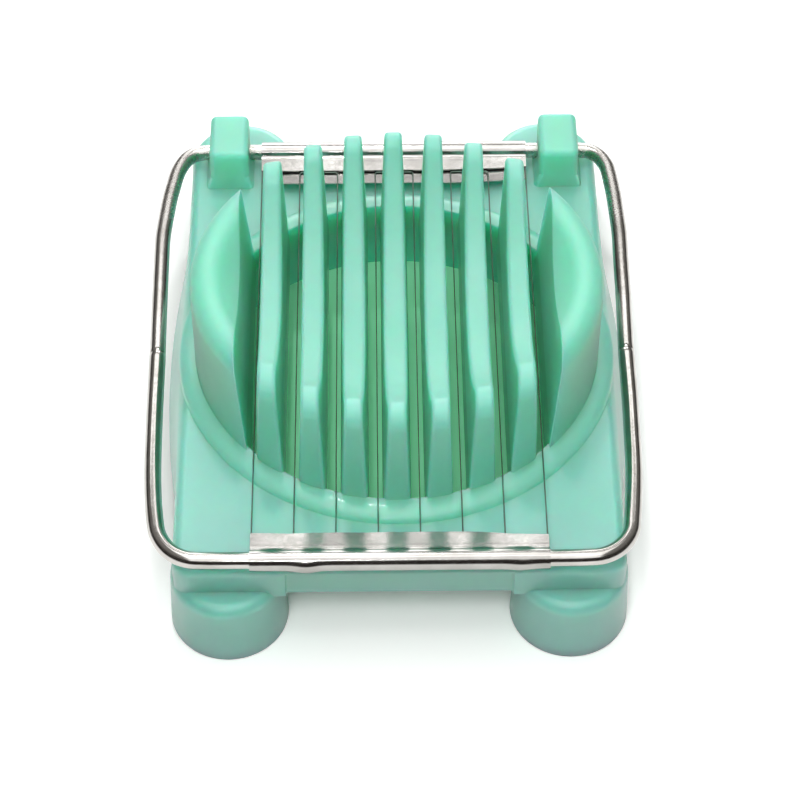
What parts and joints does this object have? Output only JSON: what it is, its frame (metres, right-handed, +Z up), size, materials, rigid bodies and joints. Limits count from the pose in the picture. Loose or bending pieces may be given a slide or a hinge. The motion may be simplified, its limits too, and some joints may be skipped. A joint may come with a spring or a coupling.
{
  "type": "egg slicer",
  "caption": "Moulded plastic egg slicer: a slotted round cradle on a flat deck with feet, and a hinged rod frame strung with fine cutting wires.",
  "frame": {"origin": "on the table, midway between the four feet", "axes": "+X to the right across the wires, +Y along the wires towards the hinge, +Z up"},
  "size_m": [0.0814, 0.1122, 0.0384],
  "materials": {
    "moulded_plastic": "semi-gloss injection moulded plastic",
    "rod_steel": "polished stainless steel rod",
    "strip_steel": "bright rolled stainless steel sheet",
    "wire_steel": "drawn stainless steel wire"
  },
  "bodies": {
    "moulding": {"base": "moulded_plastic", "cradle_fin_1": "moulded_plastic", "cradle_fin_2": "moulded_plastic", "cradle_fin_3": "moulded_plastic", "cradle_fin_4": "moulded_plastic", "cradle_fin_5": "moulded_plastic", "cradle_fin_6": "moulded_plastic", "cradle_fin_7": "moulded_plastic", "cradle_wing_left": "moulded_plastic", "cradle_wing_right": "moulded_plastic"},
    "cutter": {"front_rod": "rod_steel", "rear_rod": "rod_steel", "front_strip": "strip_steel", "rear_strip": "strip_steel", "cutting_wire_1": "wire_steel", "cutting_wire_2": "wire_steel", "cutting_wire_3": "wire_steel", "cutting_wire_4": "wire_steel", "cutting_wire_5": "wire_steel", "cutting_wire_6": "wire_steel", "cutting_wire_7": "wire_steel", "cutting_wire_8": "wire_steel"}
  },
  "joints": [
    {"name": "frame_hinge", "type": "hinge", "parent": "moulding", "child": "cutter", "pos_m": [0, 0.03975, 0.0203], "axis": [-1, 0, 0], "range_deg": [0, 180]}
  ]
}
